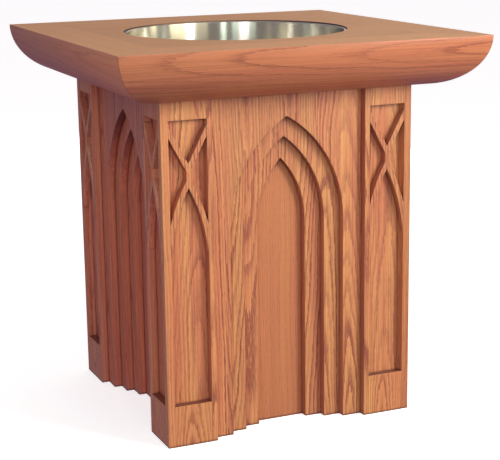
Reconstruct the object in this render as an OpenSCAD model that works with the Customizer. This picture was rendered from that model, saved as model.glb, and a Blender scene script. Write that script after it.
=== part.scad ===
// Square oak baptismal font: a pedestal of nested boards with stepped pointed
// arches, tracery strips at its corners, a wide quarter-round top and a
// lift-out steel bowl. Millimetres, +Z up, origin at the centre of the base.

/* [Overall] */
// Height from the floor to the top surface
total_h = 914; // [800:1:1000]
// Width of the square top
top_w = 890; // [860:1:940]
// Width of the square pedestal
pedestal_w = 622; // [616:1:640]
// Thickness of every board
board_t = 19; // [18:0.5:20]
// Radius of the quarter-round moulding, and so the depth of the top
moulding_r = 116; // [110:1:120]

/* [Arches] */
// Half the width of the widest arch
outer_arch_half_w = 143; // [136:1:150]
// How much each arch steps in from the one in front of it
arch_step = 41; // [34:1:42]
// Height where the arches spring from their jambs
spring_h = 494; // [440:1:500]
// How far past the centre line each arc is struck
strike_offset = 142; // [110:1:150]

/* [Tracery strips] */
// Width of a corner strip
strip_w = 121; // [116:1:126]
// Width of the stile on a strip's inner side
stile_w = 13; // [12:0.5:14]
// Width of a corner post's faces, which close the strips' outer sides
post_w = 18; // [16:0.5:18.5]
// Height of the foot block
foot_h = 98; // [80:1:120]
// Height of the head block
head_h = 45; // [40:1:60]
// Width of a tracery bar
bar_w = 12; // [10:0.5:14]
// Inner radius of the lancet arcs
lancet_r = 395; // [390:1:410]
// Height where the lancet arcs leave the stiles
lancet_spring_h = 419; // [410:1:425]
// Height where the upper tracery bars meet
vee_h = 643; // [640:1:655]
// Lean of the upper tracery bars from upright, in degrees
vee_lean = 28; // [27:1:31]
// How far a corner post's back spreads over the boards on each side of their mitre
post_spread = 3; // [1:0.5:4]
// Width of the neck that joins the upper and lower bars
neck_w = 9; // [8:0.5:12]

/* [Bowl] */
// Radius of the opening in the top
opening_r = 270; // [255:1:275]
// Width of the ledge that carries the bowl
ledge_w = 5; // [4:0.5:7]
// How far the steel rim lies below the top surface
rim_drop = 3; // [2:0.5:5]
// Thickness of the steel
steel_t = 1.5; // [1.2:0.1:2]
// Depth of the bowl at its middle
bowl_depth = 140; // [132:1:144]
// Depth of the bowl's straight wall
wall_depth = 45; // [40:1:48]
// Radius of the curve between the wall and the dished bottom
knuckle_r = 55; // [50:1:60]
// Radius of the hole in the board under the top, which the bowl passes through
passage_r = 242; // [240:1:246]

/* [Inner frame] */
// Height of the cleats inside the pedestal
cleat_h = 38; // [30:1:45]
// Length of the cleats
cleat_len = 340; // [330:1:350]
// Leg of the glue blocks in the pedestal's corners
block_leg = 38; // [25:1:45]
// Height of the glue blocks' lower ends
block_low = 30; // [20:1:60]
// Height of the glue blocks' upper ends
block_high = 740; // [500:1:740]

/* [Screws] */
// Radius of the screw shank
shank_r = 2.1; // [1.8:0.1:2.4]
// Radius of the screw head
screw_head_r = 4.2; // [4:0.1:5]
// Height of the screw head
screw_head_h = 3; // [2:0.5:4]
// How far a screw bites into the wood behind the cleat
bite = 13; // [10:1:15]
// Distance from the middle of a cleat to its upright screws
upright_screw_x = 145; // [142:1:150]
// Distance from the middle of a cleat to its level screws
level_screw_x = 60; // [40:1:90]

/* [Hidden] */
SIDES = ["front", "right", "back", "left"];
CORNERS = ["front_left", "front_right", "back_right", "back_left"];
LAYERS = ["outer_arch", "middle_arch", "inner_arch"];
HANDS = ["left", "right"];
SIDE_PIECES = ["back_panel", "stiles", "foot_blocks", "head_blocks"];

function named(places, pieces) = [for (place = places, piece = pieces) str(place, "_", piece)];

$fn = 240;
screw_fn = 48;

OAK = [0.82, 0.53, 0.34];
STRIP_OAK = [0.86, 0.58, 0.36];
MOULDING_OAK = [0.74, 0.46, 0.32];
TOP_OAK = [0.71, 0.55, 0.44];
INNER_WOOD = [0.78, 0.60, 0.42];
STEEL = [0.75, 0.74, 0.70];
SCREW_STEEL = [0.72, 0.68, 0.50];

// How far a cut runs past a face, so that no skin is left
past = 1;
// Play between a screw and its hole, between the rim and its rebate, and under the rim
screw_play = 0.05;
rim_play = 0.4;
rest_gap = 0.3;

half_w = pedestal_w / 2;
top_half = top_w / 2;
top_inner = top_half - moulding_r;
body_h = total_h - moulding_r;
inner_half = half_w - (len(LAYERS) + 2) * board_t;
cleat_z = body_h - cleat_h / 2;
cleat_y = inner_half - board_t / 2;

// The tracery recess, between the stiles and between the blocks
recess_w = strip_w - stile_w - post_w;
recess_half = recess_w / 2;
recess_x = half_w - post_w - recess_half;
recess_top = body_h - head_h;
// The corner post's sides run square for this depth, then bevel to the board behind
post_square_t = 0.6 * post_w;
// The lancet arcs end where they are this thick against the stiles
lancet_tip_t = 1;
lancet_tip_h = lancet_spring_h + sqrt(2 * lancet_r * lancet_tip_t);
// Height where the middles of the lancet arcs cross
neck_low = lancet_spring_h
    + sqrt(pow(lancet_r + bar_w / 2, 2) - pow(lancet_r - recess_half, 2));
// Half the height of an upper bar, measured upright
vee_rise = bar_w / 2 / sin(vee_lean);

// The bowl's profile: wall, knuckle and dished crown, tangent to each other
bowl_r = opening_r - ledge_w - 2 * steel_t;
rim_z = total_h - rim_drop;
knuckle_x = bowl_r - knuckle_r;
crown_rise = bowl_depth - wall_depth;
crown_r = (pow(knuckle_x, 2) + pow(crown_rise, 2) - pow(knuckle_r, 2)) / (2 * (crown_rise - knuckle_r));
crown_lean = asin(knuckle_x / (crown_r - knuckle_r));

// Turns a front piece, or a front left one, to the side or corner of that number
module on_side(index) {
    rotate(90 * index)
        children();
}

// A ring's front quarter, mitred at both ends, from one half-width to another
module mitred(outer, inner, low, high) {
    translate([0, 0, low])
        linear_extrude(high - low)
            polygon([[-outer, -outer], [outer, -outer], [inner, -inner], [-inner, -inner]]);
}

// Stands a drawing of (x, z) up behind the plane y = front
module stood_up(front, depth) {
    translate([0, front + depth, 0])
        rotate([90, 0, 0])
            linear_extrude(depth)
                children();
}

// Two arcs that meet in a point, struck from past the centre line
module pointed_head(half, offset) {
    intersection() {
        translate([-offset, 0])
            circle(half + offset);
        translate([offset, 0])
            circle(half + offset);
        translate([-half - past, 0])
            square([2 * (half + past), half + offset]);
    }
}

module arch_opening(half) {
    translate([-half, -past])
        square([2 * half, spring_h + 2 * past]);
    translate([0, spring_h])
        pointed_head(half, strike_offset);
}

// A full-height board with its arch cut through, layer 1 being the outermost
module arch_board(layer) {
    outer = half_w - layer * board_t;
    half = outer_arch_half_w - (layer - 1) * arch_step;
    color(OAK)
        difference() {
            mitred(outer, outer - board_t, 0, body_h);
            stood_up(-outer - past, board_t + 2 * past)
                arch_opening(half);
        }
}

module back_panel() {
    outer = half_w - (len(LAYERS) + 1) * board_t;
    color(OAK)
        difference() {
            mitred(outer, outer - board_t, 0, body_h);
            level_screws(shank_r + screw_play);
        }
}

// The outline of a foot or head block, from the corner post to the stile
module block_plan() {
    polygon([
        [post_w, 0],
        [strip_w - stile_w, 0],
        [strip_w - stile_w, board_t],
        [board_t + post_spread, board_t],
        [post_w, post_square_t]
    ]);
}

// Draws its children at both ends of the front, each measured from its own corner
module both_ends() {
    for (turn = [0, 1])
        mirror([turn, 0, 0])
            translate([-half_w, -half_w, 0])
                children();
}

module blocks(low, high) {
    color(STRIP_OAK)
        both_ends()
            translate([0, 0, low])
                linear_extrude(high - low)
                    block_plan();
}

module stiles() {
    color(STRIP_OAK)
        both_ends()
            translate([strip_w - stile_w, 0, 0])
                cube([stile_w, board_t, body_h]);
}

module corner_post() {
    color(STRIP_OAK)
        translate([-half_w, -half_w, 0])
            linear_extrude(body_h)
                polygon([
                    [0, 0],
                    [post_w, 0],
                    [post_w, post_square_t],
                    [board_t + post_spread, board_t],
                    [board_t, board_t],
                    [board_t, board_t + post_spread],
                    [post_square_t, post_w],
                    [0, post_w]
                ]);
}

// An upright V with its point at height low, wide enough to pass the stiles
module vee(low) {
    rise = recess_w / tan(vee_lean);
    polygon([[0, low], [recess_w, low + rise], [-recess_w, low + rise]]);
}

module tracery_drawing() {
    intersection() {
        translate([-recess_half, lancet_tip_h])
            square([recess_w, recess_top - lancet_tip_h]);
        union() {
            difference() {
                translate([0, lancet_spring_h])
                    pointed_head(recess_half + bar_w, lancet_r - recess_half);
                translate([0, lancet_spring_h - past])
                    pointed_head(recess_half, lancet_r - recess_half);
            }
            difference() {
                vee(vee_h - vee_rise);
                vee(vee_h + vee_rise);
            }
            translate([-neck_w / 2, neck_low])
                square([neck_w, vee_h - neck_low]);
        }
    }
}

module tracery(hand) {
    color(STRIP_OAK)
        mirror([hand == "right" ? 1 : 0, 0, 0])
            intersection() {
                stood_up(-half_w, board_t)
                    translate([-recess_x, 0])
                        tracery_drawing();
                translate([-half_w, -half_w, 0])
                    linear_extrude(body_h)
                        block_plan();
            }
}

module moulding() {
    color(MOULDING_OAK)
        intersection() {
            mitred(top_half, top_inner, body_h, total_h);
            translate([-top_half - past, -top_inner, total_h])
                rotate([0, 90, 0])
                    cylinder(r = moulding_r, h = top_w + 2 * past);
        }
}

module top_rail() {
    color(INNER_WOOD)
        mitred(top_inner, top_inner - board_t, body_h + board_t, total_h - board_t);
}

module cleat() {
    color(INNER_WOOD)
        difference() {
            translate([-cleat_len / 2, -inner_half, body_h - cleat_h])
                cube([cleat_len, board_t, cleat_h]);
            upright_screws(shank_r + screw_play);
            level_screws(shank_r + screw_play);
        }
}

module glue_block() {
    color(INNER_WOOD)
        translate([-inner_half, -inner_half, block_low])
            linear_extrude(block_high - block_low)
                polygon([[0, 0], [block_leg, 0], [0, block_leg]]);
}

// The shanks of the screws that go up through a cleat into the sub-top
module upright_screws(r) {
    for (x = [-upright_screw_x, upright_screw_x])
        translate([x, -cleat_y, body_h - cleat_h])
            cylinder(r = r, h = cleat_h + bite, $fn = screw_fn);
}

// The shanks of the screws that go through a cleat into the back panel
module level_screws(r) {
    for (x = [-level_screw_x, level_screw_x])
        translate([x, board_t - inner_half, cleat_z])
            rotate([90, 0, 0])
                cylinder(r = r, h = board_t + bite, $fn = screw_fn);
}

module screw_heads() {
    for (x = [-upright_screw_x, upright_screw_x])
        translate([x, -cleat_y, body_h - cleat_h - screw_head_h])
            cylinder(r = screw_head_r, h = screw_head_h, $fn = screw_fn);
    for (x = [-level_screw_x, level_screw_x])
        translate([x, board_t - inner_half, cleat_z])
            rotate([-90, 0, 0])
                cylinder(r = screw_head_r, h = screw_head_h, $fn = screw_fn);
}

module screws() {
    color(SCREW_STEEL)
        for (index = [0:3])
            on_side(index) {
                upright_screws(shank_r);
                level_screws(shank_r);
                screw_heads();
            }
}

module square_board(low, high) {
    translate([-top_inner, -top_inner, low])
        cube([2 * top_inner, 2 * top_inner, high - low]);
}

// The board that closes the top underneath and stands on the pedestal
module sub_top() {
    color(MOULDING_OAK)
        difference() {
            square_board(body_h, body_h + board_t);
            translate([0, 0, body_h - past])
                cylinder(r = passage_r, h = board_t + 2 * past);
            for (index = [0:3])
                on_side(index)
                    upright_screws(shank_r + screw_play);
        }
}

module top_panel() {
    color(TOP_OAK)
        difference() {
            square_board(total_h - board_t, total_h);
            translate([0, 0, total_h - board_t - past])
                cylinder(r = opening_r - ledge_w, h = board_t + 2 * past);
            translate([0, 0, rim_z - steel_t - rest_gap])
                cylinder(r = opening_r, h = board_t);
        }
}

// The bowl's half section, grown outwards by grow, with the rim at height 0
module bowl_section(grow) {
    crown_middle = crown_r - bowl_depth;
    reach = crown_r + grow;
    edge_x = reach * sin(crown_lean);
    edge_z = crown_middle - reach * cos(crown_lean);
    lowest = -bowl_depth - 2 * steel_t;
    intersection() {
        union() {
            translate([0, -wall_depth])
                square([bowl_r + grow, wall_depth]);
            translate([knuckle_x, -wall_depth])
                circle(knuckle_r + grow);
            polygon([[0, -wall_depth], [knuckle_x, -wall_depth], [edge_x, edge_z], [0, edge_z]]);
            intersection() {
                translate([0, crown_middle])
                    circle(reach);
                translate([0, lowest])
                    square([edge_x, edge_z - lowest]);
            }
        }
        translate([0, lowest])
            square([bowl_r + 2 * steel_t, -lowest]);
    }
}

module bowl() {
    color(STEEL)
        translate([0, 0, rim_z])
            difference() {
                union() {
                    rotate_extrude()
                        bowl_section(steel_t);
                    translate([0, 0, -steel_t])
                        cylinder(r = opening_r - rim_play, h = steel_t);
                }
                rotate_extrude()
                    bowl_section(0);
                translate([0, 0, -steel_t])
                    cylinder(r = bowl_r, h = steel_t + past);
            }
}

for (index = [0:3]) on_side(index) {
    for (layer = [1:3])
        arch_board(layer);
    back_panel();
    stiles();
    blocks(0, foot_h);
    blocks(recess_top, body_h);
    for (hand = HANDS)
        tracery(hand);
    corner_post();
    glue_block();
    cleat();
    top_rail();
    moulding();
}
sub_top();
top_panel();
bowl();
screws();
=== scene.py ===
import math

import bmesh
import bpy
from mathutils import Euler, Matrix, Vector


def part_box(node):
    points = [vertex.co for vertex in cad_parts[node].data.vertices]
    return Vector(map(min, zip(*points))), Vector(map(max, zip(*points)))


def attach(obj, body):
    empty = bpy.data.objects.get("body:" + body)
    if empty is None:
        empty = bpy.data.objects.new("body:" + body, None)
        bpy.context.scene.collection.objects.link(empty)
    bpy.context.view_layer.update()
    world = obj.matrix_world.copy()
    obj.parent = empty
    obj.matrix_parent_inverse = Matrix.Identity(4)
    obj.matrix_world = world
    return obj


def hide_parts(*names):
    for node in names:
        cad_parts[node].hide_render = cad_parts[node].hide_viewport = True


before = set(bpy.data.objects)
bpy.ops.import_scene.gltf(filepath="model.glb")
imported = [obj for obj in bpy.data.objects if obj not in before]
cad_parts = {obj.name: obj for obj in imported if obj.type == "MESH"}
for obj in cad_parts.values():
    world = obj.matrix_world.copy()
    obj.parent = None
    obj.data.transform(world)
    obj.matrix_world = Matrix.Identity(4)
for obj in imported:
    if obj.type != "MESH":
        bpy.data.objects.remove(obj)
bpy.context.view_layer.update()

SIDES = ["front", "right", "back", "left"]
CORNERS = ["front_left", "front_right", "back_right", "back_left"]
QUARTER = math.pi / 2
WHITE = (1.0, 1.0, 1.0)

# ---------------------------------------------------------------- node graphs


class Graph:
    """Adds nodes to a tree. node returns the new node, and the calls after feed return its
    output or outputs."""

    def __init__(self, tree):
        self.tree = tree

    def node(self, kind, links=(), **settings):
        made = self.tree.nodes.new(kind)
        for key, value in settings.items():
            setattr(made, key, value)
        for socket, value in dict(links).items():
            self.feed(made.inputs[socket], value)
        return made

    def feed(self, socket, value):
        if isinstance(value, bpy.types.NodeSocket):
            self.tree.links.new(value, socket)
        else:
            socket.default_value = value

    def math(self, operation, a, b=0.0, c=0.0):
        return self.node("ShaderNodeMath", {0: a, 1: b, 2: c}, operation=operation).outputs[0]

    def split(self, vector):
        return self.node("ShaderNodeSeparateXYZ", {0: vector}).outputs

    def join(self, x, y, z):
        return self.node("ShaderNodeCombineXYZ", {0: x, 1: y, 2: z}).outputs[0]

    def add(self, a, b):
        """The sum of two vectors."""
        return self.node("ShaderNodeVectorMath", {0: a, 1: b}, operation="ADD").outputs[0]

    def place(self, vector, location=(0, 0, 0), rotation=(0, 0, 0), scale=(1, 1, 1)):
        made = self.node(
            "ShaderNodeMapping",
            {"Vector": vector, "Location": location, "Rotation": rotation, "Scale": scale},
        )
        return made.outputs[0]

    def noise(self, vector, scale=1.0, detail=2.0, roughness=0.5):
        made = self.node(
            "ShaderNodeTexNoise",
            {"Vector": vector, "Scale": scale, "Detail": detail, "Roughness": roughness},
        )
        return made.outputs["Fac"]

    def chance(self, *values):
        """Three fixed pseudo-random numbers from 0 to 1 for each whole-number input."""
        spot = self.join(*[self.math("ADD", value, 0.5) for value in values])
        made = self.node("ShaderNodeTexWhiteNoise", {"Vector": spot}, noise_dimensions="3D")
        return self.split(made.outputs["Color"])

    def remap(self, value, start, end, low=0.0, high=1.0):
        """Goes evenly from low at the start to high at the end, and stays there."""
        return self.node("ShaderNodeMapRange", {0: value, 1: start, 2: end, 3: low, 4: high}).outputs[0]

    def ramp(self, factor, stops):
        """A curve through its stops, each a position and a value from 0 to 1."""
        made = self.node("ShaderNodeValToRGB", {"Fac": factor})
        band = made.color_ramp
        while len(band.elements) < len(stops):
            band.elements.new(0.5)
        for element, (position, value) in zip(band.elements, stops):
            element.position = position
            element.color = (value, value, value, 1)
        return made.outputs["Color"]

    def mix(self, factor, a, b, blend="MIX"):
        made = self.node("ShaderNodeMix", data_type="RGBA", blend_type=blend)
        self.feed(made.inputs[0], factor)
        for socket, value in ((made.inputs[6], a), (made.inputs[7], b)):
            if not isinstance(value, bpy.types.NodeSocket):
                value = (*value, 1)
            self.feed(socket, value)
        return made.outputs[2]

    def tinted(self, tone, tint):
        """A colour multiplied by another."""
        return self.mix(1.0, tone, tint, blend="MULTIPLY")

    def bump(self, height, distance, strength):
        links = {"Height": height, "Distance": distance, "Strength": strength}
        return self.node("ShaderNodeBump", links).outputs["Normal"]


class Material(Graph):
    """A material's graph, with its Principled shader."""

    def __init__(self, name):
        self.material = bpy.data.materials.new(name)
        self.material.use_nodes = True
        super().__init__(self.material.node_tree)
        self.shader = self.tree.nodes["Principled BSDF"]

    def set(self, **values):
        for key, value in values.items():
            self.feed(self.shader.inputs[key.replace("_", " ")], value)


def srgb(red, green, blue):
    """A colour as the eye numbers it, 0 to 255, made linear."""
    return tuple(
        c / 12.92 if c <= 0.04045 else ((c + 0.055) / 1.055) ** 2.4
        for c in (red / 255, green / 255, blue / 255)
    )


# ---------------------------------------------------------------- camera and studio

CAMERA_AT = (-1.3185, -3.1359, 1.2133)
CAMERA_YAW = math.radians(-23.286)
CAMERA_PITCH = math.radians(-13.209)
CAMERA_ROLL = math.radians(0.790)
CAMERA_LENS = 100.66
CAMERA_SENSOR = 36
CAMERA_CLIP = 0.05
# How far most lamps stand from the font
LAMP_DISTANCE = 3.6


def make_camera():
    data = bpy.data.cameras.new("camera")
    data.lens = CAMERA_LENS
    data.sensor_width = CAMERA_SENSOR
    data.clip_start = CAMERA_CLIP
    camera = bpy.data.objects.new("camera", data)
    bpy.context.scene.collection.objects.link(camera)
    turn = (
        Matrix.Rotation(CAMERA_YAW, 4, "Z")
        @ Matrix.Rotation(CAMERA_PITCH, 4, "X")
        @ Matrix.Rotation(CAMERA_ROLL, 4, "Y")
        @ Matrix.Rotation(QUARTER, 4, "X")
    )
    camera.matrix_world = Matrix.Translation(CAMERA_AT) @ turn
    bpy.context.scene.camera = camera


def softbox(name, headings, heights, radiance, colour, distance=LAMP_DISTANCE):
    """An upright soft light that faces the font. It fills the headings from the first to
    the second, where 0 is +X and 90 is +Y, and the heights from the first to the second."""
    start, end = (math.radians(heading) for heading in headings)
    width = 2 * distance * math.tan((end - start) / 2)
    tall = heights[1] - heights[0]
    data = bpy.data.lights.new(name, "AREA")
    data.shape = "RECTANGLE"
    data.size = width
    data.size_y = tall
    data.energy = radiance * math.pi * width * tall
    data.color = colour
    lamp = bpy.data.objects.new(name, data)
    lamp.visible_camera = False
    bpy.context.scene.collection.objects.link(lamp)
    middle = (start + end) / 2
    lamp.location = (distance * math.cos(middle), distance * math.sin(middle), sum(heights) / 2)
    lamp.rotation_euler = (QUARTER, 0, middle + QUARTER)


# Radiance of the room, above and below, towards its lit side and its dark side
LIT_ABOVE = (0.42, 0.39, 0.36)
DARK_ABOVE = (0.24, 0.235, 0.29)
LIT_BELOW = (0.19, 0.125, 0.235)
DARK_BELOW = (0.23, 0.19, 0.24)
# The heading of the lit side
LIT_HEADING = math.radians(-20)
# How much brighter than its walls the room is overhead
OVERHEAD = 1.35


def make_world():
    """A pale room, brightest overhead, with a warm lit side and a dark side."""
    world = bpy.data.worlds.new("studio")
    world.use_nodes = True
    g = Graph(world.node_tree)
    x, y, z = g.split(g.node("ShaderNodeTexCoord").outputs["Generated"])
    side = g.math(
        "ADD",
        g.math("MULTIPLY", x, math.cos(LIT_HEADING)),
        g.math("MULTIPLY", y, math.sin(LIT_HEADING)),
    )
    above = g.mix(g.remap(side, -0.8, 0.8), DARK_ABOVE, LIT_ABOVE)
    below = g.mix(g.remap(side, -0.1, -0.8), LIT_BELOW, DARK_BELOW)
    background = g.tree.nodes["Background"]
    g.feed(background.inputs["Color"], g.mix(g.remap(z, -0.15, 0.25), below, above))
    g.feed(background.inputs["Strength"], g.remap(z, 0.2, 0.8, 1.0, OVERHEAD))
    bpy.context.scene.world = world


FLOOR_SIZE = 60
BACKDROP_RADIUS = 28
BACKDROP_HEIGHT = 40
# How far the backdrop reaches below the floor
BACKDROP_SUNK = 1
STAGE_GREY = (0.90, 0.90, 0.90)
STAGE_PALE = (0.93, 0.93, 0.93)


def set_stage(name, glow):
    """Makes the new object part of the stage, in a pale material with its own glow. It
    lights nothing, as a pale sheet far away would."""
    made = bpy.context.object
    made.name = name
    m = Material(name)
    where = m.node("ShaderNodeTexCoord").outputs["Object"]
    tone = m.mix(m.noise(where, 3.0, 3.0), STAGE_GREY, STAGE_PALE)
    m.set(Base_Color=tone, Roughness=0.8, Emission_Color=(*WHITE, 1), Emission_Strength=glow)
    made.data.materials.append(m.material)
    made.visible_diffuse = False
    made.visible_glossy = False
    return made


def make_stage():
    bpy.ops.mesh.primitive_plane_add(size=FLOOR_SIZE, location=(0, 0, 0))
    set_stage("floor", 0.6)
    bpy.ops.mesh.primitive_cylinder_add(
        radius=BACKDROP_RADIUS,
        depth=BACKDROP_HEIGHT,
        vertices=96,
        end_fill_type="NOTHING",
        location=(0, 0, BACKDROP_HEIGHT / 2 - BACKDROP_SUNK),
    )
    set_stage("backdrop", 0.95).visible_shadow = False


def make_studio():
    """The room and the lamps, most of them strips that the steel bowl mirrors."""
    make_world()
    make_stage()
    cream = (1.0, 0.93, 0.64)
    mint = (0.78, 1.0, 0.88)
    softbox("key_bright", (297, 304), (0.95, 3.0), 20.3, WHITE)
    softbox("key_wide", (304, 327), (0.95, 3.2), 4.15, cream)
    softbox("key_fade", (279, 297), (0.95, 3.0), 1.2, cream)
    softbox("side_spot", (348, 357), (0.9, 2.6), 3.2, cream)
    softbox("near_camera", (231.5, 243), (0.9, 2.8), 5.5, WHITE)
    softbox("mint_left", (244, 251), (0.9, 2.6), 2.2, mint)
    softbox("mint_right", (224, 230), (0.9, 2.6), 1.5, mint)
    softbox("thin_strip", (258, 263.5), (0.9, 2.6), 5, mint)
    softbox("back_wall", (20, 64), (0.9, 2.6), 0.5, (1.0, 0.86, 0.58), distance=4.0)
    # Low behind the font, where it reaches only the right and back sides
    softbox("back_fill", (8, 86), (0.05, 0.85), 3.0, (1.0, 0.92, 0.82))
    bpy.context.scene.view_settings.view_transform = "Standard"


# ---------------------------------------------------------------- oak

OAK_PALE = srgb(236, 166, 104)
OAK_ROSY = srgb(225, 143, 96)
OAK_DARK = srgb(142, 64, 54)
OAK_PORE = srgb(88, 42, 40)
# The painted shade that a board's cut edges, the jambs of its recesses, are multiplied with, where
# nothing else is asked
JAMB_SHADE = (0.80, 0.66, 0.86)
# How far the early wood takes to fade away
EARLY_WOOD = 0.0066
# By how much of its width a ring's dark edge is ragged
RAGGED = 0.45
# How far a trunk strays from a straight cone
TRUNK_SWAY = 0.03
# How much deeper than asked a stave's heart may lie
HEART_LUCK = 0.02
# The darkest and the palest stave
STAVE_TONES = (0.94, 1.06)
# End grain drinks the stain, and its darkening also paints shade; the stain and a painted contact shade
# also darken a band a little way up from the floor
END_STAIN_AND_SHADE = (0.28, 0.21, 0.25)
FOOT_DARK_FROM = 0.001
FOOT_DARK_TO = 0.006
FOOT_DARK_SHARE = 0.75
# Painted shade darkens the corners, this close to them
CORNER_REACH = 0.008
CORNER_SHADE = (0.42, 0.28, 0.36)
CORNER_SHARE = 0.85
# How deep the pores are
PORE_DEPTH = 0.0003

# Brings each side round to the front, where an upright board's face looks along -Y and its
# grain runs up
UPRIGHT = {side: [(0, 0, -QUARTER * index)] for index, side in enumerate(SIDES)}
# The same for boards whose grain runs along the side, which are then stood on end
LYING = {side: turns + [(0, QUARTER, 0)] for side, turns in UPRIGHT.items()}
# Stands up a board whose face looks up and whose grain runs along X
FLAT = [(QUARTER, 0, 0), (0, QUARTER, 0)]


def face_middle(node, turns):
    """The middle of a piece's face, in its board's own axes."""
    low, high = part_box(node)
    corners = [
        Vector((x, y, z))
        for x in (low[0], high[0])
        for y in (low[1], high[1])
        for z in (low[2], high[2])
    ]
    for turn in turns:
        matrix = Euler(turn).to_matrix()
        corners = [matrix @ corner for corner in corners]
    lowest = [min(corner[axis] for corner in corners) for axis in range(3)]
    highest = [max(corner[axis] for corner in corners) for axis in range(3)]
    return (lowest[0] + highest[0]) / 2, lowest[1], (lowest[2] + highest[2]) / 2


class Oak(Material):
    """A board of flat-sawn red oak, cut through a tree whose growth rings are real surfaces
    in the board. In the board's own axes its face looks along -Y and its grain runs along Z."""

    def __init__(self, node, turns, seed):
        """turns bring the object's axes to the board's own."""
        super().__init__(node)
        self.seed = seed
        spot = self.node("ShaderNodeTexCoord").outputs
        self.above_floor = self.split(spot["Object"])[2]
        board, facing = spot["Object"], spot["Normal"]
        for turn in turns:
            board = self.place(board, rotation=turn)
            facing = self.place(facing, rotation=turn)
        self.board = self.place(board, location=[-value for value in face_middle(node, turns)])
        self.facing = self.split(facing)
        self.on_face = self.ramp(self.math("ABSOLUTE", self.facing[1]), [(0.3, 0.0), (0.8, 1.0)])
        self.end_grain = self.ramp(self.math("ABSOLUTE", self.facing[2]), [(0.3, 0.0), (0.8, 1.0)])

    def cut_staves(self, plank, first):
        """Glues the board from staves, each with three numbers and a stretch of tree of its
        own. first is where the middle of the board falls in its stave."""
        staves = self.math("MULTIPLY_ADD", self.split(self.board)[0], 1 / plank, first)
        stave = self.math("FLOOR", staves)
        self.from_middle = self.math("MULTIPLY_ADD", self.math("FRACT", staves), plank, -plank / 2)
        self.luck = self.chance(stave, float(self.seed), 0.0)
        shift = self.math("MULTIPLY_ADD", stave, 3.7, self.seed * 1.3)
        self.own = self.add(self.board, self.join(shift, shift, shift))

    def grown(self, scale, detail=2.0, roughness=0.5):
        """Noise stretched along the grain, different in each stave."""
        return self.noise(self.place(self.own, scale=scale), 1.0, detail, roughness)

    def from_heart(self, heart, taper, stray):
        """The distance from the tree's heart, with the slow wander of a real trunk."""
        sway = self.math("SUBTRACT", self.grown((8, 8, 2.2)), 0.5)
        bow = self.math("SUBTRACT", self.noise(self.place(self.own, (5, 9, 2), scale=(7, 7, 3.0))), 0.5)
        x, y, z = self.split(self.board)
        across = self.math("MULTIPLY_ADD", self.luck[0], stray, -0.5 * stray)
        across = self.math("ADD", self.from_middle, across)
        across = self.math("MULTIPLY_ADD", sway, TRUNK_SWAY, across)
        way = self.math("MULTIPLY_ADD", self.luck[1], 2.0, -1.0)
        way = self.math("MULTIPLY_ADD", self.math("SIGN", way), 0.5, self.math("MULTIPLY", way, 0.5))
        deep = self.math("ADD", self.math("MULTIPLY_ADD", self.luck[2], HEART_LUCK, heart), y)
        deep = self.math("MULTIPLY_ADD", z, self.math("MULTIPLY", way, taper), deep)
        deep = self.math("MULTIPLY_ADD", bow, TRUNK_SWAY, deep)
        squares = self.math("MULTIPLY_ADD", across, across, self.math("MULTIPLY", deep, deep))
        return self.math("SQRT", squares)

    def early_wood(self, radius, spacing, edge_grain):
        """Rings: a sharp dark band of early wood that fades into pale late wood."""
        shake = RAGGED * min(1.0, EARLY_WOOD / spacing)
        ragged = self.math("MULTIPLY_ADD", self.grown((420, 420, 34)), 2 * shake, -shake)
        ring = self.math("ADD", self.math("DIVIDE", radius, spacing), ragged)
        strength = self.chance(self.math("FLOOR", ring), float(self.seed), 5.0)[0]
        strength = self.math("MULTIPLY_ADD", strength, 0.7, 0.3)
        into_ring = self.math("MULTIPLY", self.math("FRACT", ring), spacing / EARLY_WOOD)
        early = self.ramp(
            into_ring,
            [(0.0, 0.7), (0.06, 1.0), (0.22, 0.9), (0.45, 0.25), (0.7, 0.03), (0.95, 0.0)],
        )
        early = self.math("MULTIPLY", early, strength)
        shown = self.math("MULTIPLY_ADD", self.on_face, 1 - edge_grain, edge_grain)
        return self.math("MULTIPLY", early, shown)

    def wood(self, early, streak, pores, bold):
        """The oak's colour, with the contrast that bold asks for."""
        cloud = self.ramp(self.grown((30, 30, 1.2)), [(0.38, 0.0), (0.62, 1.0)])
        cloud = self.math("SUBTRACT", cloud, 0.5)
        cloud = self.math("MULTIPLY_ADD", cloud, self.math("MINIMUM", bold, 1.0), 0.5)
        tone = self.mix(cloud, OAK_PALE, OAK_ROSY)
        tone = self.mix(self.math("MULTIPLY", streak, self.math("MULTIPLY", bold, 0.45)), tone, OAK_DARK)
        tone = self.mix(self.math("MULTIPLY", early, self.math("MULTIPLY", bold, 0.75)), tone, OAK_DARK)
        pored = self.math("MULTIPLY_ADD", bold, 0.4, 0.25)
        tone = self.mix(self.math("MULTIPLY", pores, pored), tone, OAK_PORE)
        darkest, palest = STAVE_TONES
        stave_tone = self.math("MULTIPLY_ADD", self.luck[1], palest - darkest, darkest)
        return self.tinted(tone, self.join(stave_tone, stave_tone, stave_tone))

    def shaded_and_stained(self, tone):
        """Darkens the end grain and the foot of the board, partly as stain and partly as painted shade,
        and paints shade into its corners.
        """
        # Darker near the floor: partly stain, partly painted contact shade
        foot_dark = self.remap(self.above_floor, FOOT_DARK_FROM, FOOT_DARK_TO, FOOT_DARK_SHARE, 0.0)
        ends = self.math("MAXIMUM", self.end_grain, foot_dark)
        tone = self.mix(ends, tone, self.tinted(tone, END_STAIN_AND_SHADE))
        # Painted shade in the corners, darkest where the point is most closed in
        openness = self.node("ShaderNodeAmbientOcclusion", {"Distance": CORNER_REACH}, samples=6)
        corner = self.ramp(openness.outputs["AO"], [(0.4, 1.0), (0.8, 0.0)])
        corner = self.math("MULTIPLY", corner, CORNER_SHARE)
        return self.mix(corner, tone, self.tinted(tone, CORNER_SHADE))


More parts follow.
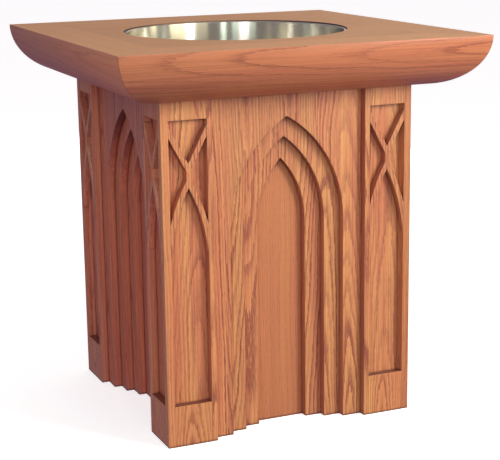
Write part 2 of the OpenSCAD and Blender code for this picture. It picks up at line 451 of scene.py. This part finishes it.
def oak(
    node,
    turns,
    seed,
    plank=0.115,
    first=None,
    spacing=0.0066,
    heart=0.03,
    taper=0.07,
    wander=0.5,
    contrast=1.0,
    tint=WHITE,
    edge_grain=0.3,
    edge_shade=JAMB_SHADE,
    rough=0.4,
    gloss=0.25,
    haze=0.28,
    top=None,
):
    """Gives a piece its own board. turns bring the piece's axes to the board's, and seed is a
    whole number that no other board has. plank is the width of the board's staves, spacing
    that of its rings, heart how far the tree's heart lies behind the face, taper how fast
    that changes along it, and wander the share of a stave by which the figure may stray from
    its middle. The board's cut edges keep the edge_grain share of its rings' contrast, and
    are multiplied once more by a painted shade tint. gloss and haze are the weight and
    roughness of its lacquer. top holds what differs where a lying board looks up, whose
    tint and low contrast paint the lacquer's sheen."""
    m = Oak(node, turns, seed)
    m.cut_staves(plank, math.fmod(seed * 0.37, 1) if first is None else first)
    radius = m.from_heart(heart, taper, plank * wander)
    early = m.early_wood(radius, spacing, edge_grain)
    # Long streaks, and pores as short dark dashes, thickest in the early wood
    streak = m.ramp(m.grown((330, 330, 3.0), 3.0, 0.6), [(0.45, 0.0), (0.68, 1.0)])
    pores = m.ramp(m.grown((1300, 1300, 55), 1.0), [(0.54, 0.0), (0.66, 1.0)])
    pores = m.math("MULTIPLY", pores, m.math("MULTIPLY_ADD", early, 0.8, 0.2))

    # Where a lying board looks up it takes the top's contrast, tint and roughness; the tint and low
    # contrast paint the lacquer's sheen
    if top:
        looks_up = m.ramp(m.facing[0], [(0.9, 0.0), (0.98, 1.0)])
        contrast = m.math("MULTIPLY_ADD", looks_up, top["contrast"] - contrast, contrast)
        tint = m.mix(looks_up, tint, top["tint"])
        rough = m.math("MULTIPLY_ADD", looks_up, top["rough"] - rough, rough)

    tone = m.tinted(m.wood(early, streak, pores, contrast), tint)
    # Paints shade on the cut edges, the jambs of the recesses
    tone = m.tinted(tone, m.mix(m.on_face, edge_shade, WHITE))
    rough = m.math("MULTIPLY_ADD", pores, 0.25, m.math("MULTIPLY_ADD", streak, 0.10, rough))
    relief = m.math("MULTIPLY_ADD", pores, -0.8, m.math("MULTIPLY", early, -0.3))
    m.set(Base_Color=m.shaded_and_stained(tone), Roughness=rough, Normal=m.bump(relief, PORE_DEPTH, 0.5))
    m.set(Coat_Weight=gloss, Coat_Roughness=haze)
    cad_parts[node].material_slots[0].material = m.material


# ---------------------------------------------------------------- the bowl

STEEL_T = 0.0015
FLANGE_W = 0.0076
WALL_DEPTH = 0.045
KNUCKLE_R = 0.055
LIP_R = 0.0022
ROUND_STEPS = 256
CROWN_STEPS = 24
KNUCKLE_STEPS = 16
EDGE_STEPS = 6
STEEL_DARK = (0.65, 0.62, 0.54)
STEEL_PALE = (0.74, 0.71, 0.62)
# How rough the polished wall is at its smoothest
POLISHED = 0.165
# How many scratches there are to a metre, and how deep they are
BRUSH_LINES = 2600
SCRATCH_DEPTH = 0.00002
# How far below the rim the steel is fully satin, and how much rougher it is there
SATIN_DEPTH = 0.08
SATIN_ROUGH = 0.3


def brushed_steel(name):
    """Steel spun and brushed round the Z axis. The wall is polished along its brushing, and
    the dished bottom is satin."""
    m = Material(name)
    where = m.node("ShaderNodeTexCoord").outputs["Object"]
    x, y, z = m.split(where)
    radius = m.math("SQRT", m.math("MULTIPLY_ADD", x, x, m.math("MULTIPLY", y, y)))
    along = m.math("ARCTAN2", y, x)
    lay = m.join(
        m.math("MULTIPLY", radius, BRUSH_LINES),
        m.math("MULTIPLY", z, BRUSH_LINES),
        m.math("MULTIPLY", along, 2.5),
    )
    scratch = m.noise(lay, 1.0, 2.0, 0.6)
    smudge = m.noise(m.place(where, scale=(14, 14, 14)), 1.0, 3.0)
    tone = m.mix(m.ramp(scratch, [(0.3, 0.0), (0.7, 1.0)]), STEEL_DARK, STEEL_PALE)
    rough = m.math("MULTIPLY_ADD", scratch, 0.06, m.math("MULTIPLY_ADD", smudge, 0.05, POLISHED))
    rim_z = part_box("bowl")[1][2]
    dish = m.remap(z, rim_z - WALL_DEPTH, rim_z - SATIN_DEPTH, 0.0, SATIN_ROUGH)
    rough = m.math("ADD", rough, dish)
    m.set(Base_Color=tone, Roughness=rough, Metallic=1.0, Anisotropic=1.0, Anisotropic_Rotation=0.25)
    tangent = m.node("ShaderNodeTangent", direction_type="RADIAL", axis="Z").outputs[0]
    m.set(Tangent=tangent, Normal=m.bump(scratch, SCRATCH_DEPTH, 0.4))
    return m.material


def arc(centre, radius, start, end, steps):
    """Points on an arc, with angles in degrees from +X towards +Z."""
    angles = [math.radians(start + (end - start) * step / steps) for step in range(steps + 1)]
    return [(centre[0] + radius * math.cos(a), centre[1] + radius * math.sin(a)) for a in angles]


def bowl_profile():
    """The bowl's half section as (radius, height), from the middle of the inside up over
    the rim and down the outside."""
    low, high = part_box("bowl")
    rim_r, rim_z = high[0], high[2]
    wall_r = rim_r - FLANGE_W
    depth = rim_z - low[2] - STEEL_T
    knuckle_x = wall_r - KNUCKLE_R
    rise = depth - WALL_DEPTH
    crown_r = (knuckle_x**2 + rise**2 - KNUCKLE_R**2) / (2 * (rise - KNUCKLE_R))
    lean = math.degrees(math.asin(knuckle_x / (crown_r - KNUCKLE_R)))
    crown_at = (0, rim_z - depth + crown_r)
    knuckle_at = (knuckle_x, rim_z - WALL_DEPTH)
    edge_r = STEEL_T / 2
    inside = arc(crown_at, crown_r, -90, -90 + lean, CROWN_STEPS)
    inside += arc(knuckle_at, KNUCKLE_R, -90 + lean, 0, KNUCKLE_STEPS)[1:]
    lip = arc((wall_r + LIP_R, rim_z - LIP_R), LIP_R, 180, 90, EDGE_STEPS)
    rim = arc((rim_r - edge_r, rim_z - edge_r), edge_r, 90, -90, EDGE_STEPS)
    under_flange = [(wall_r + STEEL_T, rim_z - STEEL_T)]
    outside = arc(knuckle_at, KNUCKLE_R + STEEL_T, 0, -90 + lean, KNUCKLE_STEPS)
    outside += arc(crown_at, crown_r + STEEL_T, -90 + lean, -90, CROWN_STEPS)[1:]
    return inside + lip + rim + under_flange + outside


def lathe(name, profile, steps):
    """A closed solid of revolution; the profile starts and ends on the axis."""
    mesh = bmesh.new()
    rings = []
    for radius, height in profile[1:-1]:
        ring = []
        for step in range(steps):
            angle = 2 * math.pi * step / steps
            ring.append(mesh.verts.new((radius * math.cos(angle), radius * math.sin(angle), height)))
        rings.append(ring)
    first = mesh.verts.new((0, 0, profile[0][1]))
    last = mesh.verts.new((0, 0, profile[-1][1]))
    for step in range(steps):
        after = (step + 1) % steps
        mesh.faces.new((first, rings[0][step], rings[0][after]))
        mesh.faces.new((last, rings[-1][after], rings[-1][step]))
        for ring, upper in zip(rings, rings[1:]):
            mesh.faces.new((ring[step], upper[step], upper[after], ring[after]))
    for face in mesh.faces:
        face.smooth = True
    bmesh.ops.recalc_face_normals(mesh, faces=mesh.faces)
    data = bpy.data.meshes.new(name)
    mesh.to_mesh(data)
    mesh.free()
    made = bpy.data.objects.new(name, data)
    bpy.context.scene.collection.objects.link(made)
    return made


def make_bowl():
    bowl = lathe("spun_bowl", bowl_profile(), ROUND_STEPS)
    bowl.data.materials.append(brushed_steel("bowl_steel"))
    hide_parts("bowl")
    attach(bowl, "bowl")


# ---------------------------------------------------------------- dressing the CAD pieces


def tints(usual, **others):
    """A tint for each side: the usual one, or the side's own."""
    return {side: others.get(side, usual) for side in SIDES}


# How bold the grain of each side's arched boards is
BOLDNESS = {"front": 1.1, "right": 0.95, "back": 1.0, "left": 0.8}
# Where a side's tint differs from the usual one it paints light, shade and sheen into the colour. The
# left side stands in the photo's violet shade, which the lamps alone don't give, so that shade is
# painted on.
BOARD_TINTS = tints(WHITE, right=(0.98, 0.96, 0.98), left=(0.92, 0.73, 1.04))
JAMB_SHADES = tints(JAMB_SHADE, left=(1, 0.93, 0.98))
STRIP_TINTS = tints(WHITE, right=(1, 0.98, 1), left=(1.0, 0.95, 1.25))
BLOCK_TINTS = tints(WHITE, front=(1.04, 1.08, 1), left=(1.0, 0.86, 0.92))
PANEL_TINTS = tints((0.83, 0.75, 0.76), left=(0.80, 0.61, 0.92))
MOULDING_TINTS = tints((0.86, 0.78, 0.84), front=(0.83, 0.75, 0.81), left=(0.93, 0.83, 1.1))
# Each corner post's tint paints the light and shade on it, darkest at the front right and violet at the
# back left
POST_TINTS = {
    "front_left": (0.97, 0.93, 0.93),
    "front_right": (0.79, 0.73, 0.73),
    "back_right": (0.88, 0.80, 0.88),
    "back_left": (0.86, 0.66, 0.92),
}
# The table top, of which the mouldings' upper faces are a part, whose pale bluish tint and low grain
# contrast paint its sheen, and its satin lacquer
TOP = {"contrast": 0.15, "tint": (0.91, 1.07, 1.24), "rough": 0.55}
SATIN = {"gloss": 0.2, "haze": 0.55}
# A board cut from a single plank, with the heart behind its middle
ONE_PLANK = {"plank": 1.0, "first": 0.5}
# The width of one stile or block of a pair
STILE_W = 0.013
BLOCK_W = 0.090
# The screws' yellow zinc
ZINC_DARK = (0.62, 0.55, 0.36)
ZINC_PALE = (0.74, 0.70, 0.56)


def dress_pair(side, piece, seed, width, taper, bold, tint):
    """Two like pieces in one node, a stave each, with the heart behind the middle of each."""
    apart = 2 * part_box(f"front_{piece}")[1][0] - width
    oak(
        f"{side}_{piece}", UPRIGHT[side], seed, plank=apart, first=0.0, heart=0.014, taper=taper,
        wander=0.02, contrast=bold * BOLDNESS[side], tint=tint, edge_shade=JAMB_SHADES[side],
    )


def dress_side(index, side):
    turns = UPRIGHT[side]
    for layer, piece in enumerate(["outer_arch", "middle_arch", "inner_arch"]):
        oak(
            f"{side}_{piece}", turns, index * 4 + layer + 1, contrast=BOLDNESS[side],
            tint=BOARD_TINTS[side], edge_shade=JAMB_SHADES[side],
        )
    oak(
        f"{side}_back_panel", turns, index + 20, plank=1.0, first=0.75, spacing=0.0045,
        contrast=0.42, tint=PANEL_TINTS[side],
    )
    dress_pair(side, "stiles", 30 + index * 3, STILE_W, 0.03, 1.1, STRIP_TINTS[side])
    dress_pair(side, "foot_blocks", 31 + index * 3, BLOCK_W, 0.09, 0.8, BLOCK_TINTS[side])
    dress_pair(side, "head_blocks", 32 + index * 3, BLOCK_W, 0.09, 0.8, BLOCK_TINTS[side])
    for number, hand in enumerate(["left", "right"]):
        oak(
            f"{side}_tracery_{hand}", turns, 45 + index * 2 + number, tint=STRIP_TINTS[side],
            edge_shade=JAMB_SHADES[side], **ONE_PLANK,
        )
    for number, piece in enumerate(["cleat", "top_rail"]):
        oak(f"{side}_{piece}", LYING[side], 60 + index * 2 + number, gloss=0.0, **ONE_PLANK)
    oak(
        f"{side}_moulding", LYING[side], 80 + index, plank=1.0, first=0.475, spacing=0.014,
        taper=0.06, wander=0.01, contrast=0.55 * BOLDNESS[side] ** 3, tint=MOULDING_TINTS[side],
        edge_grain=0.4, edge_shade=WHITE, top=TOP, **SATIN,
    )


def dress_corner(index, corner):
    turns = UPRIGHT[SIDES[index]]
    oak(
        f"{corner}_corner_post", turns, 90 + index, taper=0.03, contrast=0.5,
        tint=POST_TINTS[corner], edge_grain=1.0, edge_shade=WHITE, **ONE_PLANK,
    )
    oak(f"{corner}_glue_block", turns, 94 + index, gloss=0.0, **ONE_PLANK)


def dress_wood():
    for index, side in enumerate(SIDES):
        dress_side(index, side)
    for index, corner in enumerate(CORNERS):
        dress_corner(index, corner)
    oak("sub_top", FLAT, 100, plank=0.14)
    # Its cut edges, the wall of the bowl's hole among them, are darkened: partly end grain, partly
    # painted shade
    oak("top_panel", FLAT, 101, plank=0.14, edge_shade=(0.3, 0.3, 0.3), **TOP, **SATIN)


def dress_screws():
    m = Material("screw_steel")
    where = m.node("ShaderNodeTexCoord").outputs["Object"]
    haze = m.noise(where, 900.0, 2.0)
    tone = m.mix(haze, ZINC_DARK, ZINC_PALE)
    m.set(Base_Color=tone, Metallic=1.0, Roughness=m.math("MULTIPLY_ADD", haze, 0.2, 0.25))
    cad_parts["screws"].material_slots[0].material = m.material


EASED = 0.0008
# The top panel lies flush between its mouldings, so its edges are left all but sharp
TOP_EASED = 0.0001
WELDED = 1e-5
# Edges that turn by less than this are part of a curve
CURVE_TURN = math.radians(35)


def ease_edges():
    """Takes the sharpness off the wood's edges, as sandpaper does."""
    for name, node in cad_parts.items():
        if name in ("bowl", "screws"):
            continue
        weld = node.modifiers.new("weld", "WELD")
        weld.merge_threshold = WELDED
        bevel = node.modifiers.new("eased_edges", "BEVEL")
        bevel.width = TOP_EASED if name == "top_panel" else EASED
        bevel.segments = 2
        bevel.limit_method = "ANGLE"
        bevel.angle_limit = CURVE_TURN
        bevel.harden_normals = True


make_camera()
make_studio()
dress_wood()
dress_screws()
ease_edges()
make_bowl()
